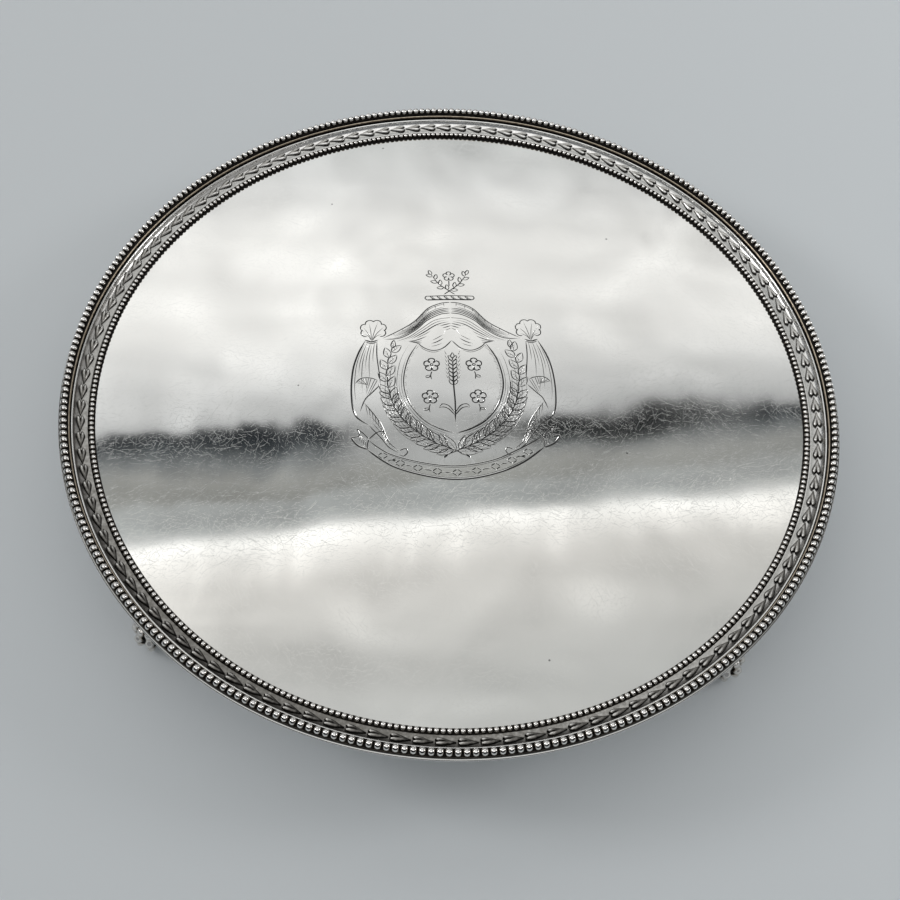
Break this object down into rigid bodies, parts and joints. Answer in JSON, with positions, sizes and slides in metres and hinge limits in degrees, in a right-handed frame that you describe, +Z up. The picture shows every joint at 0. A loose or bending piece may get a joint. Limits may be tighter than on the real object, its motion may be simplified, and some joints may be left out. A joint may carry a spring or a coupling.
{
  "type": "salver",
  "caption": "Round silver salver with a flat tray field, an applied border of husks between two bead wires, and claw-and-ball feet.",
  "frame": {"origin": "on the surface that the feet stand on, under the centre of the plate", "axes": "+Z up, square to the field; the feet are on the diagonals between X and Y; -Y is the side nearest a person reading the engraving"},
  "size_m": [0.3048, 0.3048, 0.0363],
  "materials": {
    "plate_silver": "polished",
    "wire_silver": "polished",
    "border_silver": "satin",
    "cast_foot_silver": "satin"
  },
  "bodies": {
    "root": {"salver_plate": "plate_silver", "inner_bead_wire_1": "wire_silver", "inner_bead_wire_2": "wire_silver", "husk_border_1": "border_silver", "husk_border_2": "border_silver", "husk_border_3": "border_silver", "husk_border_4": "border_silver", "step_wire": "wire_silver", "outer_bead_wire_1": "wire_silver", "outer_bead_wire_2": "wire_silver", "outer_bead_wire_3": "wire_silver", "outer_bead_wire_4": "wire_silver", "foot_1": "cast_foot_silver", "foot_2": "cast_foot_silver", "foot_3": "cast_foot_silver", "foot_4": "cast_foot_silver"}
  },
  "joints": []
}
